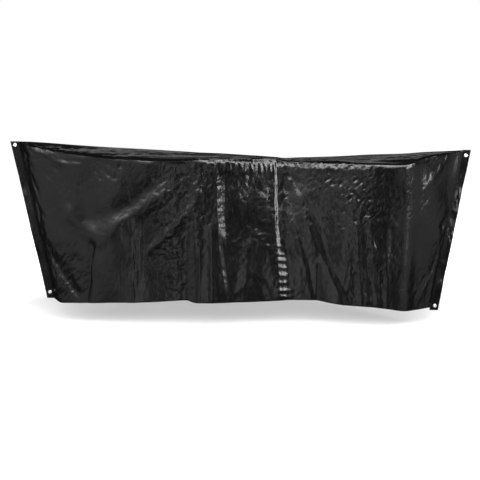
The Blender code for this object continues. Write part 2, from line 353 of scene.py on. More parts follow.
SECTIONS: tuple[Section, ...] = (
    Section("front_end", -1.675, 0.1010, 0.004, 0.0015, -1.458, -0.926, 0.0015, 0.000),
    Section("front_bend", -1.667, 0.1010, 0.006, 0.0060, -1.450, -0.930, 0.0060, 0.000),
    Section("front_cheek", -1.610, 0.1000, 0.022, 0.0360, -1.405, -0.948, 0.0400, 0.003),
    Section("front_collar", -1.488, 0.0930, 0.045, 0.0700, -1.310, -0.943, 0.0820, -0.002),
    Section("front_slack", -1.300, 0.0785, 0.066, 0.1230, -1.150, -0.934, 0.1250, -0.008),
    Section("front_sag", -1.080, 0.0640, 0.066, 0.1730, -0.985, -0.926, 0.1560, 0.008),
    Section("front_swell", -0.880, 0.0535, 0.066, 0.2100, -0.830, -0.921, 0.1720, -0.006),
    Section("front_bar", -0.690, 0.0425, 0.061, 0.2320, -0.670, -0.910, 0.1820, 0.005),
    Section("front_pleat", -0.575, 0.0355, 0.050, 0.2280, -0.590, -0.907, 0.1860, -0.008),
    Section("pleat_step", -0.500, 0.0305, 0.041, 0.2200, -0.515, -0.921, 0.1880, 0.012),
    Section("long_fold", -0.370, 0.0255, 0.030, 0.1960, -0.356, -0.922, 0.1900, 0.007),
    Section("long_hollow", -0.270, 0.0190, 0.024, 0.1640, -0.250, -0.920, 0.1780, 0.003),
    Section("dip_front", -0.120, 0.0095, 0.019, 0.1100, -0.090, -0.918, 0.1660, -0.003),
    Section("dip_rise", -0.030, 0.0030, 0.015, 0.0820, -0.015, -0.915, 0.1620, -0.003),
    Section("dip_crease", 0.000, 0.0010, 0.014, 0.0800, 0.034, -0.913, 0.1570, -0.004),
    Section("dip_fall", 0.024, -0.0030, 0.014, 0.0790, 0.120, -0.911, 0.1550, -0.005),
    Section("fan_valley", 0.048, -0.0045, 0.015, 0.0810, 0.236, -0.912, 0.1610, -0.001),
    Section("fan_crest", 0.078, -0.0035, 0.016, 0.0840, 0.345, -0.929, 0.1690, 0.002),
    Section("fan_low", 0.112, -0.0015, 0.018, 0.0900, 0.451, -0.944, 0.1710, 0.003),
    Section("rear_spread", 0.230, 0.0015, 0.026, 0.1200, 0.545, -0.950, 0.1740, 0.002),
    Section("rear_swell", 0.400, 0.0070, 0.035, 0.1560, 0.625, -0.957, 0.1700, 0.000),
    Section("rear_bar", 0.610, 0.0180, 0.049, 0.1880, 0.715, -0.968, 0.1620, 0.000),
    Section("rear_slack", 0.800, 0.0230, 0.052, 0.1790, 0.810, -0.982, 0.1490, 0.000),
    Section("rear_sag", 0.940, 0.0330, 0.026, 0.1200, 0.885, -0.986, 0.1000, 0.002),
    Section("rear_collar", 1.060, 0.0385, 0.012, 0.0660, 0.950, -0.984, 0.0650, 0.000),
    Section("rear_cheek", 1.150, 0.0420, 0.012, 0.0240, 1.000, -0.980, 0.0260, 0.000),
    Section("rear_bend", 1.194, 0.0460, 0.006, 0.0060, 1.005, -0.990, 0.0060, 0.000),
    Section("rear_end", 1.202, 0.0460, 0.004, 0.0015, 1.013, -0.992, 0.0015, 0.000),
)

# Left end, height, length, depth and spread of each bar across the crease below the dip.
DIP_BARS: tuple[tuple[float, float, float, float, float], ...] = (
    (0.006, -0.562, 0.012, 0.0026, 0.011),
    (0.010, -0.614, 0.016, 0.0034, 0.011),
    (0.012, -0.653, 0.034, 0.0040, 0.012),
    (0.020, -0.700, 0.026, 0.0032, 0.011),
    (0.014, -0.750, 0.040, 0.0040, 0.013),
    (0.010, -0.797, 0.052, 0.0036, 0.011),
    (0.012, -0.850, 0.066, 0.0056, 0.013),
    (0.020, -0.886, 0.062, 0.0056, 0.012),
)

# Upper end and lean of each short upright pleat under the roof's edge, before the dip.
LIP_STROKES: tuple[Pair, ...] = (
    (-0.529, -0.006), (-0.438, 0.004), (-0.406, -0.008), (-0.347, -0.010), (-0.308, 0.006),
    (-0.272, -0.008), (-0.237, 0.010), (-0.204, -0.006), (-0.172, 0.008), (-0.142, -0.006),
    (-0.112, 0.004), (-0.087, 0.012), (-0.052, 0.002),
)


def dip_bars() -> tuple[Fold, ...]:
    """Return the short bars that lie across the crease below the dip."""
    fall = 0.004
    return tuple(Fold(f"dip_bar_{i}", ((x, z), (x + length, z - fall)), height, spread)
                 for i, (x, z, length, height, spread) in enumerate(DIP_BARS))


def lip_strokes() -> tuple[Fold, ...]:
    """Return the short upright pleats under the roof's edge."""
    top_z, low_z = -0.034, -0.088
    return tuple(Fold(f"lip_stroke_{i}", ((x, top_z), (x + lean, low_z)), 0.0042, 0.012)
                 for i, (x, lean) in enumerate(LIP_STROKES))


FOLDS: tuple[Fold, ...] = (
    Fold("belly", ((-1.333, -0.360), (-1.150, -0.535), (-1.003, -0.420), (-0.747, -0.235)),
         0.0068, 0.046),
    Fold("belly_shade", ((-1.129, -0.375), (-0.938, -0.295), (-0.760, -0.145)), -0.008, 0.050),
    Fold("corner_low", ((-1.453, -0.640), (-1.298, -0.870)), -0.008, 0.030),
    Fold("hem_left", ((-1.190, -0.560), (-1.230, -0.920)), -0.006, 0.030),
    Fold("hem_middle", ((-0.938, -0.480), (-0.930, -0.930)), 0.007, 0.035),
    Fold("short_top", ((-1.495, 0.038), (-1.380, -0.030)), 0.006, 0.025),
    Fold("rear_top", ((1.083, -0.009), (0.950, -0.180)), 0.0018, 0.022),
    Fold("rear_edge", ((1.125, -0.400), (1.020, -0.730)), -0.007, 0.030),
    Fold("hollow_arch", ((-0.205, -0.80), (-0.190, -0.60), (-0.120, -0.50), (-0.055, -0.58),
                         (-0.040, -0.78)),
         0.0028, 0.034),
    Fold("hollow_slant", ((-0.190, -0.71), (-0.110, -0.78), (-0.040, -0.88)), 0.0024, 0.022),
    Fold("hollow_low", ((-0.300, -0.89), (-0.190, -0.78)), 0.0035, 0.020),
    Fold("middle_slant", ((-0.810, -0.58), (-0.680, -0.46), (-0.560, -0.33), (-0.500, -0.22)),
         0.007, 0.026),
    Fold("middle_post", ((-0.735, -0.06), (-0.730, -0.24), (-0.715, -0.42), (-0.720, -0.60)),
         0.005, 0.022),
    Fold("soft_post", ((-0.425, -0.45), (-0.415, -0.90)), 0.005, 0.022),
    Fold("rear_post_1", ((0.500, -0.44), (0.545, -0.93)), 0.0045, 0.026),
    Fold("rear_post_2", ((0.590, -0.42), (0.640, -0.93)), 0.0040, 0.022),
    Fold("rear_post_3", ((0.690, -0.48), (0.705, -0.94)), 0.0035, 0.024),
    Fold("rear_shelf", ((0.590, -0.39), (0.740, -0.43)), 0.0030, 0.022),
    Fold("dip_line", ((-0.019, -0.020), (-0.019, -0.200)), -0.0065, 0.017, Profile.STEP, 0.30),
    Fold("dip_line_middle", ((-0.019, -0.320), (-0.014, -0.460), (-0.005, -0.560)),
         -0.0090, 0.0245, Profile.STEP, 0.30, 0.10),
    Fold("dip_line_low", ((0.002, -0.660), (0.006, -0.740), (0.014, -0.950)),
         -0.0262, 0.059, Profile.STEP, 0.24, 0.10),
    Fold("dip_line_lee", ((0.003, -0.040), (0.003, -0.380)), 0.0040, 0.030, Profile.STEP, 0.16),
    Fold("dip_line_edge", ((0.020, -0.600), (0.032, -0.740), (0.040, -0.950)),
         -0.0050, 0.034, Profile.STEP, 0.10),
    Fold("long_line", ((-0.387, -0.170), (-0.385, -0.400), (-0.382, -0.450)),
         -0.0265, 0.052, Profile.STEP, 0.20, 0.15),
    Fold("long_line_low", ((-0.372, -0.60), (-0.348, -0.78)), -0.0120, 0.028, Profile.STEP, 0.15),
    Fold("fan_line_1", ((0.042, -0.230), (0.108, -0.446), (0.174, -0.691), (0.222, -0.930)),
         -0.0052, 0.022, Profile.STEP, 0.11, 0.10),
    Fold("fan_line_top", ((0.030, -0.085), (0.076, -0.148), (0.118, -0.225)),
         -0.0058, 0.026, Profile.STEP, 0.12, 0.06),
    Fold("fan_line_2", ((0.146, -0.300), (0.228, -0.504), (0.332, -0.732), (0.430, -0.950)),
         -0.0068, 0.040, Profile.STEP, 0.13, 0.07),
    Fold("fan_line_low", ((0.252, -0.550), (0.332, -0.732), (0.430, -0.950)),
         -0.0030, 0.040, Profile.STEP, 0.13),
    Fold("fan_tuck", ((0.262, -0.700), (0.256, -0.900)), -0.004, 0.012, Profile.SHARP),
    Fold("hem_left_line", ((-1.182, -0.575), (-1.205, -0.70), (-1.207, -0.80), (-1.228, -0.901)),
         -0.0035, 0.010, Profile.SHARP),
    Fold("step_line", ((-0.497, -0.600), (-0.500, -0.900)), 0.003, 0.010, Profile.SHARP),
    Fold("short_line", ((-1.495, 0.038), (-1.398, -0.012), (-1.280, -0.020)),
         -0.004, 0.012, Profile.SHARP),
    Fold("corner_line", ((-1.453, -0.658), (-1.330, -0.850)), -0.005, 0.016, Profile.SHARP),
    Fold("rear_top_line", ((1.083, -0.012), (0.985, -0.150)), 0.0025, 0.014, Profile.SHARP),
    Fold("rear_low_line", ((1.060, -0.660), (0.930, -0.900)), 0.004, 0.016, Profile.SHARP),
    Fold("rear_collar", ((0.900, -0.002), (0.800, -0.026), (0.610, -0.033), (0.400, -0.030),
                         (0.230, -0.026), (0.050, -0.018)),
         0.0095, 0.038, Profile.STEP, 0.20),
    *dip_bars(),
    *lip_strokes(),
    Fold("far_rise", ((-0.980, -0.120), (-1.260, -0.720)), 0.012, 0.060, wall=Wall.FAR),
    Fold("far_fall", ((-0.760, -0.150), (-0.620, -0.860)), -0.010, 0.060, wall=Wall.FAR),
    Fold("far_slant", ((0.250, -0.120), (0.560, -0.880)), 0.011, 0.055, wall=Wall.FAR),
    Fold("far_corner", ((1.060, -0.120), (0.900, -0.600)), -0.008, 0.040, wall=Wall.FAR),
    Fold("far_dip_line", ((0.002, -0.030), (0.000, -0.50), (0.030, -0.93)),
         0.007, 0.018, Profile.STEP, 0.25, wall=Wall.FAR),
    Fold("far_fan", ((-0.020, -0.080), (-0.150, -0.45), (-0.260, -0.90)),
         -0.007, 0.030, Profile.SHARP, wall=Wall.FAR),
    Fold("far_long", ((-0.420, -0.120), (-0.380, -0.80)),
         0.010, 0.030, Profile.SHARP, wall=Wall.FAR),
)

# Waves in a metre along and down the wall, height and phase of each slow ripple.
RIPPLES: tuple[tuple[float, float, float, float], ...] = (
    (1.70, 0.90, 0.0030, 0.4),
    (-2.60, 0.90, 0.0024, 1.9),
    (3.90, -0.80, 0.0018, 3.1),
    (1.10, 1.60, 0.0010, 5.2),
)

PUCKERS: tuple[Pucker, ...] = (
    Pucker("under_bar", -0.500, -0.120, 18, 0.240, 0.110, 0.024, 0.050, 0.0032),
    Pucker("under_roof", -0.235, -0.110, 18, 0.220, 0.120, 0.021, 0.031, 0.0022),
    Pucker("long_band", -0.350, -0.360, 78, 0.360, 0.055, 0.012, 0.030, 0.0013),
    Pucker("rear_shoulder", 0.440, -0.110, 42, 0.330, 0.180, 0.016, 0.040, 0.0044),
    Pucker("rear_lip", 0.280, -0.050, 10, 0.360, 0.045, 0.018, 0.026, 0.0040),
    Pucker("rear_middle", 0.450, -0.280, 40, 0.260, 0.220, 0.018, 0.040, 0.0028),
    Pucker("rear_wide", 0.860, -0.200, 30, 0.240, 0.200, 0.020, 0.030, 0.0013),
    Pucker("rear_folds", 0.560, -0.660, 4, 0.170, 0.280, 0.034, 0.070, 0.0028),
    Pucker("rear_fine", 0.760, -0.720, 82, 0.200, 0.110, 0.015, 0.050, 0.0015),
    Pucker("middle_rows", -0.680, -0.710, 78, 0.240, 0.120, 0.019, 0.045, 0.0024),
    Pucker("middle", -0.640, -0.330, 38, 0.260, 0.230, 0.032, 0.055, 0.0028),
    Pucker("hollow", -0.165, -0.500, 90, 0.260, 0.140, 0.017, 0.090, 0.0010),
    Pucker("dip_bars", 0.035, -0.740, 90, 0.200, 0.070, 0.012, 0.020, 0.0010),
    Pucker("dip_beads", -0.004, -0.440, 80, 0.120, 0.030, 0.011, 0.022, 0.0022),
    Pucker("front_top", -1.030, -0.040, -25, 0.400, 0.100, 0.024, 0.050, 0.0022),
    Pucker("front_corner", -1.370, -0.750, 35, 0.140, 0.200, 0.026, 0.080, 0.0036),
    Pucker("front_edge", -1.575, -0.400, -12, 0.070, 0.550, 0.028, 0.080, 0.0120),
    Pucker("front_nose", -1.520, 0.020, -50, 0.100, 0.200, 0.022, 0.090, 0.0026),
    Pucker("front_folds", -0.920, -0.660, 0, 0.100, 0.250, 0.020, 0.140, 0.0026),
    Pucker("rear_edge", 1.100, -0.480, 11, 0.060, 0.260, 0.026, 0.070, 0.0090),
    Pucker("rear_corner", 0.930, -0.860, 40, 0.110, 0.120, 0.024, 0.070, 0.0030),
    Pucker("rear_nose", 1.020, -0.060, 38, 0.060, 0.180, 0.020, 0.060, 0.0020),
    Pucker("all_over", -0.250, -0.450, 30, 1.300, 0.900, 0.030, 0.042, 0.0012),
    Pucker("fan", 0.220, -0.420, -22, 0.200, 0.420, 0.034, 0.140, 0.0006),
    Pucker("bead_left", -0.226, -0.245, 15, 0.042, 0.034, 0.018, 0.034, 0.0038),
    Pucker("bead_right", -0.086, -0.245, 20, 0.036, 0.034, 0.018, 0.034, 0.0038),
    Pucker("far_top", 0.100, -0.130, -10, 0.900, 0.130, 0.026, 0.050, 0.0036, Wall.FAR),
    Pucker("far_front", -0.900, -0.420, 30, 0.420, 0.330, 0.050, 0.080, 0.0040, Wall.FAR),
    Pucker("far_middle", -0.150, -0.560, -15, 0.330, 0.360, 0.040, 0.110, 0.0040, Wall.FAR),
    Pucker("far_rear", 0.620, -0.480, 20, 0.350, 0.360, 0.040, 0.080, 0.0040, Wall.FAR),
    Pucker("far_all", -0.250, -0.450, -30, 1.300, 0.900, 0.036, 0.050, 0.0014, Wall.FAR),
)


@dataclass(frozen=True)
class StripEdge:
    """Outer edge of an end strip.

    Attributes:
        name: The strip's name.
        top_x: Place of its top corner along the cover.
        top_z: Height of its top corner.
        low_x: Place of its low corner along the cover.
        low_z: Height of its low corner.
        inward: Sign of the way from the edge to the sheet.
        lean: How far the strip would lean to the far side over its whole width.
    """

    name: str
    top_x: float
    top_z: float
    low_x: float
    low_z: float
    inward: int
    lean: float


FRONT_EDGE = StripEdge("front_seam_strip", -1.7230, 0.1020, -1.5060, -0.9230, 1, -0.0006)
REAR_EDGE = StripEdge("rear_seam_strip", 1.2500, 0.0470, 1.0600, -1.0040, -1, 0.0120)


@dataclass(frozen=True)
class WallRows:
    """How many rows of faces each part of a section takes."""

    roof: int
    bend: int
    drop: int

    @property
    def total(self) -> int:
        """All the rows from the ridge to the edge of the turned hem."""
        return self.roof + self.bend + self.drop + len(HEM_TURN)


@dataclass
class Drape:
    """The shape in which the cover hangs, shared by the sheet and the end strips.

    Attributes:
        bend_half: Half width of the bend along the ridge.
        ridge_fall: How far the sheet falls within that bend.
        shoulder: Radius of the roof's edge behind the dip.
        front_shoulder: Share of that radius that is left before the dip.
        lip_swell: How far the wall swells just under the roof's edge, before the dip.
        hem_wave: Depth of the waves at the hem.
        slow_wave: Depth of the slow unevenness of the walls.
        full_crumple: Height of crease at which the cloth counts as wholly crumpled.
        front_x: Place of the front end's top.
        front_slant: How far the front end leans in on its way down, of about a metre.
        rear_x: Place of the rear end's top.
        rear_slant: How far the rear end leans in on its way down.
        end_reach: How far in from an end its waver is felt.
        end_wave_height: How far the closed ends waver sideways.
        sections: The table of sections.
        folds: The table of folds.
        puckers: The table of crumpled patches.
    """

    bend_half: float = 0.0032
    ridge_fall: float = 0.0012
    shoulder: float = 0.030
    front_shoulder: float = 0.06
    lip_swell: float = 0.0046
    hem_wave: float = 0.004
    slow_wave: float = 0.0022
    full_crumple: float = 0.0040
    front_x: float = -1.673
    front_slant: float = 0.217
    rear_x: float = 1.200
    rear_slant: float = 0.189
    end_reach: float = 0.22
    end_wave_height: float = 0.007
    sections: tuple[Section, ...] = SECTIONS
    folds: tuple[Fold, ...] = FOLDS
    puckers: tuple[Pucker, ...] = PUCKERS

    def sizes_at(self, at: Grid) -> dict[str, Grid]:
        """Return the section's sizes at places between the table's rows.

        Args:
            at: The rows, as numbers with fractions.

        Returns:
            Each size by name, as a column.
        """
        names = [f.name for f in fields(Section) if f.name != "name"]
        return {n: monotone([getattr(s, n) for s in self.sections], at)[:, None] for n in names}

    def end_wave(self, z: Grid, edge: StripEdge) -> Grid:
        """Return the sideways waver of a closed end, none by its eyelets."""
        t = (z - edge.low_z) / (edge.top_z - edge.low_z)
        flat, growth, waves, phase = 0.12, 0.16, 1.5, 0.5
        window = smooth((t - flat) / growth) * smooth((1.0 - flat - t) / growth)
        return self.end_wave_height * window * np.sin(math.tau * waves * t + phase)

    def shift(self, x: Grid, z: Grid) -> Grid:
        """Return how far the closed ends' waver carries the sheet sideways."""
        front_top, rear_top = 0.10, 0.05
        from_front = x - self.front_x - self.front_slant * (front_top - z)
        from_rear = self.rear_x - self.rear_slant * (rear_top - z) - x
        front = smooth(1.0 - from_front / self.end_reach)
        rear = smooth(1.0 - from_rear / self.end_reach)
        return front * self.end_wave(z, FRONT_EDGE) + rear * self.end_wave(z, REAR_EDGE)

    def end_fade(self, x: Grid, z: Grid) -> Grid:
        """Return 0 on the closed ends and 1 away from them."""
        top, height, growth = 0.10, 1.03, 0.045
        down = np.clip((top - z) / height, 0.0, 1.0)
        front = self.front_x + self.front_slant * down
        rear = self.rear_x - self.rear_slant * down
        return smooth((x - front) / growth) * smooth((rear - x) / growth)

    def relief(self, x: Grid, z: Grid, wall: Wall) -> Grid:
        """Return all the folds and puckers of a wall.

        Args:
            x: Places along the cover.
            z: Heights of the points.
            wall: The wall that the points are on.

        Returns:
            The outward offset in metres at each point.
        """
        total = np.zeros(x.shape)
        for fold in self.folds:
            if fold.wall is wall:
                total += fold.offset(x, z)
        walls_apart = 1.7
        for along, down, height, phase in RIPPLES:
            total += height * np.sin(math.tau * (along * x + down * z) + phase
                                     + walls_apart * wall.value)
        for i, patch in enumerate(self.puckers):
            if patch.wall is wall:
                total += patch.offset(x, z, SEED_STEP * i)
        cells_along, cells_down = 7.0, 6.0
        waver = ruffle(x * cells_along, z * cells_down, SEED_WAVER + wall.value)
        return total + self.slow_wave * waver

    def roof_relief(self, x: Grid, half: Grid, wall: Wall) -> Grid:
        """Return the unevenness of the roof between the ridge and its edge."""
        broad = ruffle(x * 4.0, half * 14.0, SEED_ROOF_BROAD + wall.value)
        fine = ruffle(x * 13.0, half * 30.0, SEED_ROOF_FINE + wall.value)
        # A long low ridge winds along the roof.
        ridge_half, swing, bends, spread = 0.11, 0.02, 9.0, 0.022
        ridge = np.exp(-(((half - ridge_half - swing * np.sin(x * bends)) / spread) ** 2))
        # The fine creases are deeper at the front.
        front_x, growth, deepest, mean = -1.00, 0.25, 1.4, 0.4
        deeper = 1.0 + deepest * smooth((front_x - x) / growth)
        broad_height, fine_height, ridge_height, calm_half = 0.0060, 0.0045, 0.0050, 0.06
        height = (broad_height * broad + fine_height * deeper * (mean - np.abs(fine))
                  + ridge_height * ridge)
        return smooth(half / calm_half) * height

    def crumple_weight(self, x: Grid, z: Grid, wall: Wall) -> Grid:
        """Return how crumpled the cloth is, up to 1."""
        least = 0.12
        most = np.zeros(x.shape)
        for patch in self.puckers:
            if patch.wall is wall:
                most = np.maximum(most, patch.mask(x, z) * patch.height / self.full_crumple)
        return np.clip(least + most, 0.0, 1.0)

    def wall_half(self, size: dict[str, Grid], t: Grid) -> Grid:
        """Return the plain wall's half width.

        Args:
            size: The sections' sizes.
            t: Share of the way from the roof's edge to the hem.

        Returns:
            The half width at each point.
        """
        top, x = size["top_half"], size["top_x"]
        spread_power, lifted_by, lift_loss = 1.7, 0.22, 0.25
        half = top + (size["hem_half"] - top) * (1.0 - (1.0 - t) ** spread_power)
        half = half + size["lift"] * smooth(t / lifted_by) * (1.0 - lift_loss * t)
        # The swell lies between pleat_step and the dip, and is gone a seventh of the way down.
        from_x, growth, to_x, loss = -0.52, 0.12, -0.01, 0.02
        full_by, gone_by, going = 0.020, 0.14, 0.13
        swell = smooth((to_x - x) / loss) * smooth((x - from_x) / growth)
        return half + self.lip_swell * swell * smooth(t / full_by) * smooth((gone_by - t) / going)

    def outline(self, size: dict[str, Grid], rows: WallRows) -> tuple[Grid, Grid]:
        """Return the plain sections before their folds: half widths and heights.

        Args:
            size: The sections' sizes.
            rows: How many rows each part takes.

        Returns:
            Half width and height of each point, ridge first.
        """
        ridge, top = size["ridge_z"], size["top_half"]
        edge_z = ridge - size["drop"]
        # The roof's edge is sharp before the dip and grows round just behind it.
        round_from, growth, widest_share = -0.06, 0.14, 0.45
        rear = smooth((size["top_x"] - round_from) / growth)
        radius = self.shoulder * (self.front_shoulder + (1.0 - self.front_shoulder) * rear)
        radius = np.minimum(radius, widest_share * top)

        # From the bend at the ridge the roof falls to its edge, and sags a little on its way.
        fall_share, sag = 0.72, 0.16
        near = np.minimum(self.bend_half, top)
        near_z = ridge - self.ridge_fall
        t = (np.arange(1, rows.roof) / rows.roof)[None, :]
        roof = near + np.maximum(top - radius - near, 0.0) * t
        roof_z = near_z - size["drop"] * fall_share * t * (1.0 + sag * np.sin(math.pi * t))

        # The roof's edge turns down into the wall, lower than it is wide.
        from_deg, by_deg, below, height, flatness = 18.0, 70.0, 0.55, 0.75, 0.8
        turn = np.radians(from_deg + by_deg * np.arange(rows.bend) / (rows.bend - 1))[None, :]
        bend = top - radius * (1.0 - np.sin(turn))
        bend_z = edge_z - radius * (below - height * np.cos(turn)) * flatness

        # The rows of the wall lie a little further apart at its upper end.
        crowding = 0.94
        t = ((np.arange(1, rows.drop + 1) / rows.drop) ** crowding)[None, :]
        wall = self.wall_half(size, t)
        start = bend_z[:, -1:]
        wall_z = start + (size["hem_z"] - start) * t

        half = np.concatenate([np.zeros_like(top), near, roof, bend, wall], axis=1)
        return half, np.concatenate([ridge, near_z, roof_z, bend_z, wall_z], axis=1)

    def hang(self, at: Grid, wall: Wall, rows: WallRows) -> tuple[Grid, Grid]:
        """Hang one side of the sheet.

        Args:
            at: The sections' places along the table.
            wall: The side.
            rows: How many rows each part takes.

        Returns:
            The points, sections by rows by three, and how crumpled each one is.
        """
        size = self.sizes_at(at)
        half, z = self.outline(size, rows)
        ridge, hem = size["ridge_z"], size["hem_z"]
        edge_z = ridge - size["drop"]
        down = (ridge - z) / (ridge - hem)
        x = size["top_x"] + (size["hem_x"] - size["top_x"]) * down
        ends = self.end_fade(x, z)
        start_above, growth = 0.012, 0.034
        fade = ends * smooth((edge_z + start_above - z) / growth)
        calm_share, waves_per_metre, walls_apart = 0.15, 3.1, 0.8
        low = smooth((edge_z - z) / (edge_z - hem) - calm_share)
        waves = np.sin(math.tau * waves_per_metre * x + walls_apart * wall.value)
        extra = self.relief(x, z, wall) * fade
        extra = extra + self.hem_wave * ends * low * waves
        y = np.maximum(half + extra, np.minimum(half, self.bend_half))
        up = self.roof_relief(x, half, wall) * ends * (1.0 - fade) * (half > self.bend_half)
        points = np.stack([x, wall.value * y + self.shift(x, z), z + up], axis=2)
        return points, self.crumple_weight(x, z, wall)


def place_in_scene(name: str, mesh: bpy.types.Mesh) -> bpy.types.Object:
    """Make an object of a mesh, put it in the scene and return it."""
    obj = bpy.data.objects.new(name, mesh)
    bpy.context.scene.collection.objects.link(obj)
    return obj


def take_mesh(bm: bmesh.types.BMesh, name: str) -> bpy.types.Mesh:
    """Turn a bmesh into a mesh of that name, free it and return the mesh."""
    mesh = bpy.data.meshes.new(name)
    bm.to_mesh(mesh)
    bm.free()
    return mesh


def flat_grid(name: str, columns: int, rows: int,
              flip: bool = False) -> tuple[bpy.types.Mesh, Grid]:
    """Lay a flat grid of faces from -1 to 1 both ways.

    Args:
        name: The mesh's name.
        columns: Faces along X.
        rows: Faces along Y.
        flip: Whether the faces look down.

    Returns:
        The mesh, and its points as rows of x, y and z.
    """
    bm = bmesh.new()
    bmesh.ops.create_grid(bm, x_segments=columns, y_segments=rows, size=1.0)
    if flip:
        bmesh.ops.reverse_faces(bm, faces=bm.faces)
    mesh = take_mesh(bm, name)
    flat = np.empty(3 * len(mesh.vertices))
    mesh.vertices.foreach_get("co", flat)
    return mesh, flat.reshape(-1, 3)


def hang_cloth(mesh: bpy.types.Mesh, points: Grid, crumple: Grid, cloth: Grid) -> bpy.types.Object:
    """Move a flat grid into the shape in which it hangs.

    Args:
        mesh: The flat grid.
        points: Where each vertex goes.
        crumple: How crumpled the cloth is at each vertex.
        cloth: Each vertex's place on the cloth laid flat, in metres.

    Returns:
        The cloth's object.
    """
    mesh.vertices.foreach_set("co", points.ravel())
    mesh.attributes.new("crumple", "FLOAT", "POINT").data.foreach_set("value", crumple)
    corner = np.empty(len(mesh.loops), dtype=int)
    mesh.loops.foreach_get("vertex_index", corner)
    mesh.uv_layers.new(name="cloth").data.foreach_set("uv", cloth[corner].ravel())
    mesh.update()
    mesh.shade_smooth()
    return place_in_scene(mesh.name, mesh)


@dataclass
class NodeSheet:
    """Small helper that lays shader nodes in a node tree."""

    tree: bpy.types.NodeTree

    def add(self, kind: str, **settings: object) -> bpy.types.Node:
        """Add a node.

        Args:
            kind: The node's type name.
            **settings: Attributes to set on the node.

        Returns:
            The new node.
        """
        node = self.tree.nodes.new(kind)
        for key, value in settings.items():
            setattr(node, key, value)
        return node

    def link(self, source: Socket, target: Socket) -> None:
        """Join two sockets."""
        self.tree.links.new(source, target)

    def noise(self, vector: Socket, scale: float, detail: float = 3.0,
              rough: float = 0.5, warp: float = 0.0) -> Socket:
        """Add a noise texture and return its value socket.

        Args:
            vector: Where the noise is read.
            scale: Cells in a metre.
            detail: Octaves.
            rough: Share of each next octave.
            warp: Distortion.

        Returns:
            The noise value's socket.
        """
        node = self.add("ShaderNodeTexNoise")
        self.link(vector, node.inputs["Vector"])
        node.inputs["Scale"].default_value = scale
        node.inputs["Detail"].default_value = detail
        node.inputs["Roughness"].default_value = rough
        node.inputs["Distortion"].default_value = warp
        return node.outputs["Fac"]

    def ranged(self, value: Socket, low: float, high: float, to_low: float,
               to_high: float) -> Socket:
        """Map a value from one range to another and return the result's socket."""
        node = self.add("ShaderNodeMapRange")
        self.link(value, node.inputs["Value"])
        for name, number in (("From Min", low), ("From Max", high),
                             ("To Min", to_low), ("To Max", to_high)):
            node.inputs[name].default_value = number
        return node.outputs["Result"]

    def math(self, operation: str, a: Socket, b: Socket | float) -> Socket:
        """Combine two values and return the result's socket."""
        node = self.add("ShaderNodeMath", operation=operation)
        self.link(a, node.inputs[0])
        if isinstance(b, (int, float)):
            node.inputs[1].default_value = b
        else:
            self.link(b, node.inputs[1])
        return node.outputs[0]

    def bump(self, height: Socket, distance: float, strength: float,
             below: Socket | None = None) -> Socket:
        """Add a bump layer and return its normal socket.

        Args:
            height: The height field.
            distance: Its depth in metres.
            strength: Its share.
            below: The normal that it adds to.

        Returns:
            The new normal's socket.
        """
        node = self.add("ShaderNodeBump")
        node.inputs["Distance"].default_value = distance
        node.inputs["Strength"].default_value = strength
        self.link(height, node.inputs["Height"])
        if below is not None:
            self.link(below, node.inputs["Normal"])
        return node.outputs["Normal"]


def new_finish(name: str, sockets: dict[str, object]
               ) -> tuple[bpy.types.Material, NodeSheet, bpy.types.Node]:
    """Start a material.

    Args:
        name: Its name.
        sockets: The settings of its shader, by socket.

    Returns:
        The material, the helper for its nodes, and its shader.
    """
    material = bpy.data.materials.new(name)
    material.use_nodes = True
    pad = NodeSheet(material.node_tree)
    shader = pad.tree.nodes["Principled BSDF"]
    for socket, value in sockets.items():
        shader.inputs[socket].default_value = value
    return material, pad, shader


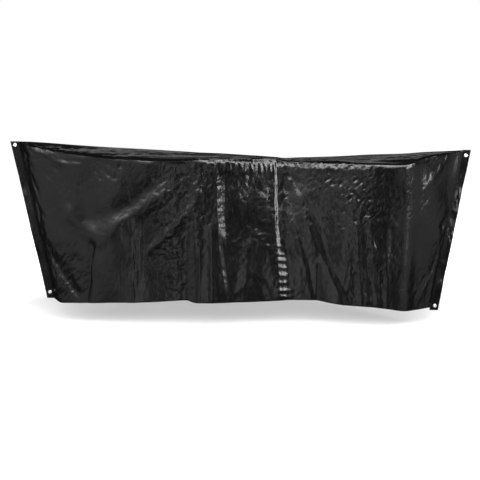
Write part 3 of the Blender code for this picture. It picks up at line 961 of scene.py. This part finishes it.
@dataclass(frozen=True)
class WovenPolyethylene:
    """Black coated woven sheet: glossy, with fine crumple and a tape weave.

    Attributes:
        name: The finish's name.
        dark: Its darkest colour.
        light: Its lightest colour.
        rough_low: Roughness where it is shiniest.
        rough_high: Roughness where it is scuffed.
        tape_per_metre: Tapes in a metre of the weave.
        tape_height: Depth of the weave.
        crumple_depth: Depth of the fine crumple.
        gloss: Specular level.
    """

    name: str = "black_woven_polyethylene"
    dark: Colour = (0.0007, 0.0007, 0.0008, 1.0)
    light: Colour = (0.0018, 0.0018, 0.0019, 1.0)
    rough_low: float = 0.13
    rough_high: float = 0.24
    tape_per_metre: float = 420.0
    tape_height: float = 0.00010
    crumple_depth: float = 0.0022
    gloss: float = 0.5

    def make(self) -> bpy.types.Material:
        """Build the material and return it."""
        mat, pad, shader = new_finish(self.name, {"Specular IOR Level": self.gloss, "IOR": 1.5})
        place = pad.add("ShaderNodeTexCoord").outputs["Object"]
        cloth = pad.add("ShaderNodeUVMap", uv_map="cloth").outputs["UV"]
        crease = pad.add("ShaderNodeAttribute", attribute_name="crumple").outputs["Fac"]

        tone = pad.noise(place, scale=5.0, detail=4.0, rough=0.6)
        ramp = pad.add("ShaderNodeValToRGB")
        pad.link(tone, ramp.inputs["Fac"])
        for stop, at, colour in zip(ramp.color_ramp.elements, (0.35, 0.72),
                                    (self.dark, self.light)):
            stop.position = at
            stop.color = colour
        pad.link(ramp.outputs["Color"], shader.inputs["Base Color"])

        scuff = pad.noise(place, scale=22.0, detail=4.0, rough=0.62)
        rough = pad.ranged(scuff, 0.35, 0.70, self.rough_low, self.rough_high)
        pad.link(rough, shader.inputs["Roughness"])

        # Creased crumple, as deep as the cloth's own crumple weight says, under the weave.
        broad = pad.noise(place, scale=24.0, detail=3.0, rough=0.55, warp=0.6)
        folds = pad.math("ABSOLUTE", pad.math("SUBTRACT", broad, 0.5), 0.0)
        fine = pad.noise(place, scale=75.0, detail=3.0, rough=0.6, warp=0.4)
        fold_share, fine_share = -1.6, 0.30
        height = pad.math("ADD", pad.math("MULTIPLY", folds, fold_share),
                          pad.math("MULTIPLY", fine, fine_share))
        height = pad.math("MULTIPLY", height, crease)
        normal = pad.bump(height, distance=self.crumple_depth, strength=1.0)
        weave = self.weave(pad, cloth)
        normal = pad.bump(weave, distance=self.tape_height, strength=0.35, below=normal)
        pad.link(normal, shader.inputs["Normal"])
        return mat

    def weave(self, pad: NodeSheet, cloth: Socket) -> Socket:
        """Lay crossed tapes over the cloth's own coordinates.

        Args:
            pad: The material's node helper.
            cloth: The cloth's coordinates in metres.

        Returns:
            The weave's height socket.
        """
        parts = pad.add("ShaderNodeSeparateXYZ")
        pad.link(cloth, parts.inputs[0])
        turns = math.tau * self.tape_per_metre
        warp = pad.math("SINE", pad.math("MULTIPLY", parts.outputs["X"], turns), 0.0)
        weft = pad.math("SINE", pad.math("MULTIPLY", parts.outputs["Y"], turns), 0.0)
        return pad.math("MULTIPLY", warp, weft)


@dataclass(frozen=True)
class PressedAluminium:
    """Bright pressed metal with fine press marks."""

    name: str = "pressed_aluminium"
    colour: Colour = (0.90, 0.90, 0.91, 1.0)
    rough_low: float = 0.20
    rough_high: float = 0.42
    mark_depth: float = 0.00006

    def make(self) -> bpy.types.Material:
        """Build the material and return it."""
        mat, pad, shader = new_finish(self.name, {"Base Color": self.colour, "Metallic": 1.0})
        place = pad.add("ShaderNodeTexCoord").outputs["Object"]
        marks = pad.noise(place, scale=900.0, detail=3.0, rough=0.6)
        rough = pad.ranged(marks, 0.3, 0.7, self.rough_low, self.rough_high)
        pad.link(rough, shader.inputs["Roughness"])
        normal = pad.bump(marks, distance=self.mark_depth, strength=0.4)
        pad.link(normal, shader.inputs["Normal"])
        return mat


@dataclass
class CoverSheet:
    """The one-piece sheet, folded over the ridge, closed at both ends, hem turned in.

    Attributes:
        drape: The shape in which it hangs.
        flat_length: Its length along the ridge when it is laid flat.
        hem_depth: How far the turned hem lies inside the wall.
        columns: Faces along the cover.
        near: Faces down the near wall.
        far: Faces down the far wall.
    """

    drape: Drape
    flat_length: float = 2.90
    hem_depth: float = 0.0026
    columns: int = 450
    near: WallRows = WallRows(roof=17, bend=12, drop=122)
    far: WallRows = WallRows(roof=8, bend=6, drop=38)

    def places(self) -> Grid:
        """Return the places along the section table that space the columns evenly."""
        samples, top_share, least = 2401, 0.35, 1e-6
        at = np.linspace(0.0, len(self.drape.sections) - 1, samples)
        size = self.drape.sizes_at(at)
        x = top_share * size["top_x"][:, 0] + (1.0 - top_share) * size["hem_x"][:, 0]
        path = np.concatenate([[0.0], np.cumsum(np.maximum(np.abs(np.diff(x)), least))])
        return np.interp(np.linspace(0.0, path[-1], self.columns + 1), path, at)

    def turned_hem(self, points: Grid, wall: Wall) -> Grid:
        """Return the sections with the hem turned to the inside.

        Args:
            points: The sections down to their lower edge.
            wall: The side that they are on.

        Returns:
            The sections with the hem's points added.
        """
        edge = points[:, -1]
        share_of_room, least = 0.5, 0.0002
        room = share_of_room * np.abs(edge[:, 1] - points[:, 0, 1]) + least
        deep = np.minimum(self.hem_depth, room)
        added = []
        for share, up in HEM_TURN:
            row = edge.copy()
            row[:, 1] -= wall.value * deep * share
            row[:, 2] += up
            added.append(row)
        return np.concatenate([points, np.stack(added, axis=1)], axis=1)

    def build(self) -> bpy.types.Object:
        """Shape the sheet from a flat grid and return its object."""
        near, far = self.near.total, self.far.total
        at = self.places()
        sides: list[Grid] = []
        weights: list[Grid] = []
        for wall, rows in ((Wall.NEAR, self.near), (Wall.FAR, self.far)):
            points, weight = self.drape.hang(at, wall, rows)
            sides.append(self.turned_hem(points, wall))
            hem = np.repeat(weight[:, -1:], len(HEM_TURN), axis=1)
            weights.append(np.concatenate([weight, hem], axis=1))
        whole = np.concatenate([sides[0][:, ::-1], sides[1][:, 1:]], axis=1)
        weight = np.concatenate([weights[0][:, ::-1], weights[1][:, 1:]], axis=1)
        step = np.linalg.norm(np.diff(whole, axis=1), axis=2)
        run = np.concatenate([np.zeros((len(at), 1)), np.cumsum(step, axis=1)], axis=1)

        mesh, flat = flat_grid("draped_sheet", self.columns, near + far)
        i = np.rint((flat[:, 0] + 1.0) / 2.0 * self.columns).astype(int)
        k = np.rint((flat[:, 1] + 1.0) / 2.0 * (near + far)).astype(int)
        cloth = np.stack([self.flat_length * i / self.columns, run[i, k]], axis=1)
        return hang_cloth(mesh, whole[i, k], weight[i, k], cloth)


@dataclass
class SeamStrip:
    """A flat sealed strip beyond a closed end, lapped by the sheet, with two holes.

    Attributes:
        edge: Its outer edge.
        drape: The shape in which the cover hangs.
        holes: Place and height of each eyelet's hole.
        width: Its width with the lap.
        length: Its length down the edge.
        thickness: Its thickness.
        lap: Share of the width that shows beside the sheet.
        crumple: How crumpled it is.
        hole_radius: Radius of its holes.
        hole_steps: Faces round a hole.
        rows: Faces down its length.
        columns: Faces across its width.
        free_at: The end's waver at which the strip hangs wholly free.
        swing: How much wider than the sheet's its own waver grows and shrinks.
        swings: How often it does so on the way down.
        broad_height: Height of its broad crumple.
        fine_height: Height of its fine crumple.
    """

    edge: StripEdge
    drape: Drape
    holes: tuple[Pair, ...]
    width: float = 0.0560
    length: float = 1.05
    thickness: float = 0.0022
    lap: float = 0.84
    crumple: float = 0.8
    hole_radius: float = 0.0076
    hole_steps: int = 48
    rows: int = 170
    columns: int = 12
    free_at: float = 0.0025
    swing: float = 0.8
    swings: float = 2.0
    broad_height: float = 0.0042
    fine_height: float = 0.0028

    def build(self) -> bpy.types.Object:
        """Shape the strip from a flat grid, punch it and return its object."""
        name = f"{self.edge.name}_cloth"
        mesh, flat = flat_grid(name, self.columns, self.rows, flip=self.edge.inward < 0)
        s, t = (flat[:, 0] + 1.0) / 2.0, (1.0 - flat[:, 1]) / 2.0
        cloth = np.stack([self.width * s, self.length * t], axis=1)
        obj = hang_cloth(mesh, self.shape(s, t), np.full(len(s), self.crumple), cloth)
        layers = obj.modifiers.new("cloth_thickness", "SOLIDIFY")
        layers.thickness = self.thickness
        layers.offset = 0.0
        self.punch(obj)
        return obj

    def shape(self, s: Grid, t: Grid) -> Grid:
        """Return the strip's points.

        Args:
            s: Share of the way in from the outer edge.
            t: Share of the way down.

        Returns:
            One row of x, y and z for each point.
        """
        e = self.edge
        z = e.top_z + (e.low_z - e.top_z) * t
        x = e.top_x + (e.low_x - e.top_x) * t + e.inward * self.width * s
        wave = self.drape.end_wave(z, e)
        # The strip is flat by its eyelets. Elsewhere its edge swings, leans and crumples.
        free = np.minimum(1.0, np.abs(wave) / self.free_at)
        swing = 1.0 + self.swing * np.sin(math.tau * self.swings * t) * free
        y = wave * (swing + (1.0 - swing) * np.minimum(s / self.lap, 1.0))
        y = y + e.lean * free * np.maximum(0.0, self.lap - s)
        held_from, growth, slant = 0.80, 0.5, 0.21
        loose = smooth((held_from - s) / growth) * free
        broad = ruffle(x * 26.0, z * 11.0, SEED_STRIP_BROAD)
        fine = ruffle((x + slant * z) * 70.0, z * 13.0, SEED_STRIP_FINE)
        y = y + loose * (self.broad_height * broad + self.fine_height * fine)
        return np.stack([x, y, z], axis=1)

    def punch(self, obj: bpy.types.Object) -> None:
        """Cut the eyelet holes and bake the modifiers into the mesh.

        Args:
            obj: The strip.
        """
        cutters = []
        depth = 0.03
        for x, z in self.holes:
            bm = bmesh.new()
            bmesh.ops.create_cone(
                bm, cap_ends=True, segments=self.hole_steps, radius1=self.hole_radius,
                radius2=self.hole_radius, depth=depth,
                matrix=Matrix.Translation((x, 0.0, z)) @ Matrix.Rotation(math.pi / 2, 4, "X"))
            cutter = place_in_scene("punch", take_mesh(bm, "punch"))
            cut = obj.modifiers.new("punch", "BOOLEAN")
            cut.operation, cut.solver, cut.object = "DIFFERENCE", "EXACT", cutter
            cutters.append(cutter)
        graph = bpy.context.evaluated_depsgraph_get()
        baked = bpy.data.meshes.new_from_object(obj.evaluated_get(graph))
        obj.modifiers.clear()
        old = obj.data
        obj.data = baked
        bpy.data.meshes.remove(old)
        for cutter in cutters:
            bpy.data.objects.remove(cutter)


# Curve of a rim's outer edge: distance in from its radius, and share of its height.
RIM_EDGE: tuple[Pair, ...] = ((0.0030, 0.96), (0.0014, 0.80), (0.0004, 0.48), (0.0, 0.16),
                              (0.0003, 0.0))


@dataclass
class Eyelet:
    """A pressed eyelet: two rolled rims and the barrel between them.

    Attributes:
        name: Its name.
        x: Its place along the cover.
        z: Its height.
        bore: Radius of its hole.
        outer: Radius of its rims.
        barrel: Outer radius of its barrel.
        seat: Half the gap between the rims.
        rim: Height of a rim.
        lip: Radius of the rim's roll into the hole.
        crease_deg: Angle above which an edge of it is shaded sharp.
        steps: Faces round it.
    """

    name: str
    x: float
    z: float
    bore: float = 0.0060
    outer: float = 0.0125
    barrel: float = 0.0071
    seat: float = 0.0014
    rim: float = 0.0012
    lip: float = 0.0012
    crease_deg: float = 50.0
    steps: int = 48

    def half_profile(self) -> list[Pair]:
        """Return the near half of the profile, from the bore out and back to the barrel."""
        roll_steps = 6
        points = []
        for i in range(roll_steps + 1):
            turn = math.pi / 2 * i / roll_steps
            points.append((self.bore + self.lip * (1.0 - math.cos(turn)),
                           self.seat + self.rim * math.sin(turn)))
        for inset, share in RIM_EDGE:
            points.append((self.outer - inset, self.seat + self.rim * share))
        points.append((self.barrel, self.seat))
        return points

    def build(self) -> bpy.types.Object:
        """Spin the eyelet's profile round its bore and return its object."""
        half = self.half_profile()
        loop = half + [(r, -h) for r, h in reversed(half)]
        bm = bmesh.new()
        verts = [bm.verts.new((r, h, 0.0)) for r, h in loop]
        for a, b in zip(verts, verts[1:] + verts[:1]):
            bm.edges.new((a, b))
        bmesh.ops.spin(bm, geom=bm.verts[:] + bm.edges[:], cent=(0, 0, 0), axis=(0, 1, 0),
                       angle=math.tau, steps=self.steps, use_merge=True, use_duplicate=False)
        bmesh.ops.remove_doubles(bm, verts=bm.verts, dist=1e-6)
        bmesh.ops.translate(bm, verts=bm.verts, vec=Vector((self.x, 0.0, self.z)))
        bmesh.ops.recalc_face_normals(bm, faces=bm.faces)
        mesh = take_mesh(bm, f"{self.name}_ring")
        mesh.shade_smooth()
        mesh.set_sharp_from_angle(angle=math.radians(self.crease_deg))
        return place_in_scene(f"{self.name}_ring", mesh)


@dataclass(frozen=True)
class SoftBox:
    """A rectangular soft light.

    Attributes:
        name: Where it hangs.
        place: Its middle.
        aim: The point that it faces.
        size: Its width and height.
        glow: Its brightness.
        shines_in_gloss: Whether gloss mirrors it.
        lights_the_room: Whether it lights matt surfaces.
    """

    name: str
    place: Place
    aim: Place
    size: Pair
    glow: float
    shines_in_gloss: bool = True
    lights_the_room: bool = True

    def hang(self) -> None:
        """Make the light."""
        data = bpy.data.lights.new(self.name, "AREA")
        data.shape = "RECTANGLE"
        data.size, data.size_y = self.size
        data.energy = self.glow * math.pi * self.size[0] * self.size[1]
        obj = bpy.data.objects.new(self.name, data)
        way = Vector(self.aim) - Vector(self.place)
        obj.location = Vector(self.place)
        obj.rotation_euler = way.to_track_quat("-Z", "Y").to_euler()
        obj.visible_camera = False
        obj.visible_glossy = self.shines_in_gloss
        obj.visible_diffuse = self.lights_the_room
        bpy.context.scene.collection.objects.link(obj)


SOFT_BOXES: tuple[SoftBox, ...] = (
    SoftBox("overhead", (-0.2, 0.3, 5.2), (-0.2, 0.3, -1.0), (14.0, 12.0), 0.74, False),
    SoftBox("front_key", (-0.2, -6.0, 1.10), (-0.2, 0.5, -0.9), (4.0, 2.6), 25.5, False),
    SoftBox("tall_right", (4.10, -3.6, 1.10), (0.0, 0.0, -0.3), (0.62, 3.2), 24.0),
    SoftBox("high_front", (0.3, -6.0, 3.1), (0.0, 0.0, 0.0), (8.0, 2.3), 9.6),
    SoftBox("high_left", (-4.4, -5.2, 2.6), (0.3, 0.0, -0.1), (1.6, 2.6), 5.5),
    SoftBox("middle_front", (-2.35, -6.7, 0.9), (0.0, 0.0, 0.0), (3.8, 1.9), 0.74),
    SoftBox("low_front", (-0.70, -6.9, -1.65), (0.0, 0.0, -0.3), (1.7, 3.1), 1.02),
    SoftBox("left_ledge", (-5.2, -4.9, 0.75), (-0.8, 0.0, -0.4), (3.6, 1.5), 1.1),
    SoftBox("low_left", (-5.8, -5.4, -1.7), (-0.9, 0.0, -0.4), (6.4, 3.2), 0.50),
    SoftBox("low_right", (6.2, -4.8, -1.8), (0.8, 0.0, -0.4), (8.0, 3.2), 0.40),
    SoftBox("high_back", (-0.4, 5.6, 4.1), (0.0, 0.0, 0.0), (7.0, 0.9), 1.1),
    SoftBox("tall_back", (4.6, 5.2, 1.4), (0.0, 0.0, -0.3), (0.9, 3.4), 9.0),
    SoftBox("wide_back", (-4.6, 5.4, 0.6), (0.0, 0.0, -0.3), (2.6, 3.0), 1.3),
    SoftBox("low_back", (-0.2, 6.6, -1.5), (-0.2, 0.0, -0.4), (11.0, 3.2), 0.95, True, False),
)


@dataclass
class Studio:
    """Plain floor, soft lights and the camera.

    Attributes:
        floor_z: Height of the floor.
        floor_half: Half the floor's side.
        middle_x: Place of the cover's middle.
        white_from: Distance from the cover's middle at which the floor starts to glow.
        white_at: Distance at which it is all white.
        room_glow: Brightness of the surroundings, as the gloss sees them.
        focal_px: Focal length in pixels.
        frame_px: Width of the frame in pixels.
        sensor_mm: Width of the sensor.
        camera_place: Place of the camera.
        camera_fall_deg: How far the camera looks down.
    """

    floor_z: float = -1.118
    floor_half: float = 30.0
    middle_x: float = -0.24
    white_from: float = 1.8
    white_at: float = 2.8
    room_glow: float = 0.05
    focal_px: float = 1073.0
    frame_px: float = 480.0
    sensor_mm: float = 36.0
    camera_place: Place = (-0.24124, -6.94782, 0.31535)
    camera_fall_deg: float = 7.016

    def floor(self) -> None:
        """Lay a wide pale floor under the cover, lit up to white further out."""
        bm = bmesh.new()
        bmesh.ops.create_grid(bm, x_segments=8, y_segments=8, size=self.floor_half)
        bmesh.ops.translate(bm, verts=bm.verts, vec=Vector((0.0, 0.0, self.floor_z)))
        obj = place_in_scene("studio_floor", take_mesh(bm, "studio_floor"))
        mat, pad, shader = new_finish("pale_floor", {
            "Base Color": (0.90, 0.90, 0.90, 1.0),
            "Roughness": 0.9,
            "Specular IOR Level": 0.1,
            "Emission Color": WHITE,
        })
        place = pad.add("ShaderNodeTexCoord").outputs["Object"]
        far = pad.add("ShaderNodeVectorMath", operation="DISTANCE")
        far.inputs[1].default_value = (self.middle_x, 0.0, self.floor_z)
        pad.link(place, far.inputs[0])
        glow = pad.ranged(far.outputs["Value"], self.white_from, self.white_at, 0.0, 1.0)
        pad.link(glow, shader.inputs["Emission Strength"])
        obj.data.materials.append(mat)
        obj.visible_glossy = False

    def world(self) -> None:
        """Fill the surroundings with white for the eye and a dim grey for the gloss."""
        world = bpy.data.worlds.new("studio_world")
        bpy.context.scene.world = world
        world.use_nodes = True
        pad = NodeSheet(world.node_tree)
        pad.tree.nodes.clear()
        mix = pad.add("ShaderNodeMixShader")
        path = pad.add("ShaderNodeLightPath")
        pad.link(path.outputs["Is Camera Ray"], mix.inputs["Fac"])
        for socket, strength in ((1, self.room_glow), (2, 1.0)):
            light = pad.add("ShaderNodeBackground")
            light.inputs["Color"].default_value = WHITE
            light.inputs["Strength"].default_value = strength
            pad.link(light.outputs[0], mix.inputs[socket])
        out = pad.add("ShaderNodeOutputWorld")
        pad.link(mix.outputs[0], out.inputs["Surface"])

    def camera(self) -> None:
        """Set the camera before the near wall, a little above the ridge."""
        data = bpy.data.cameras.new("front_camera")
        data.sensor_width = self.sensor_mm
        data.lens = self.sensor_mm * self.focal_px / self.frame_px
        obj = bpy.data.objects.new("front_camera", data)
        obj.location = Vector(self.camera_place)
        obj.rotation_euler = (math.radians(90.0 - self.camera_fall_deg), 0.0, 0.0)
        bpy.context.scene.collection.objects.link(obj)
        bpy.context.scene.camera = obj

    def build(self) -> None:
        """Set up the floor, the world, the lights and the camera."""
        self.camera()
        self.world()
        self.floor()
        for box in SOFT_BOXES:
            box.hang()


def packed_eyelet(node: str) -> Eyelet:
    """Return the eyelet that stands where its solid does, to a tenth of a millimetre."""
    low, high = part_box(node)
    return Eyelet(node, x=round((low[0] + high[0]) / 2, 4), z=round((low[2] + high[2]) / 2, 4))


@dataclass
class BicycleCover:
    """The whole cover, built from its pieces and dressed."""

    drape: Drape = field(default_factory=Drape)

    def dress(self, obj: bpy.types.Object, material: bpy.types.Material,
              node: str) -> bpy.types.Object:
        """Give a piece its finish and put it in its node's place.

        Args:
            obj: The piece.
            material: Its finish.
            node: The CAD node that it replaces.

        Returns:
            The same piece.
        """
        obj.data.materials.clear()
        obj.data.materials.append(material)
        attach(obj, BODY)
        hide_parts(node)
        LOG.info("%s: %d faces in place of %s", obj.name, len(obj.data.polygons), node)
        return obj

    def build(self) -> None:
        cloth = WovenPolyethylene().make()
        tape = WovenPolyethylene(name="black_hem_tape", gloss=0.30).make()
        metal = PressedAluminium().make()
        sheet = self.dress(CoverSheet(self.drape).build(), cloth, "cover_sheet")
        eyelets = []
        for edge, end in ((FRONT_EDGE, "front"), (REAR_EDGE, "rear")):
            pair = [packed_eyelet(f"eyelet_{end}_{corner}") for corner in ("top", "low")]
            strip = SeamStrip(edge, self.drape, tuple((e.x, e.z) for e in pair))
            self.dress(strip.build(), tape, edge.name)
            eyelets += pair
        for eyelet in eyelets:
            self.dress(eyelet.build(), metal, eyelet.name)


def main() -> None:
    """Build the studio and the cover."""
    logging.basicConfig(level=logging.INFO, format="%(name)s: %(message)s")
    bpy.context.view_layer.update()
    bpy.context.scene.view_settings.view_transform = "Standard"
    Studio().build()
    BicycleCover().build()


if __name__ == "__main__":
    main()
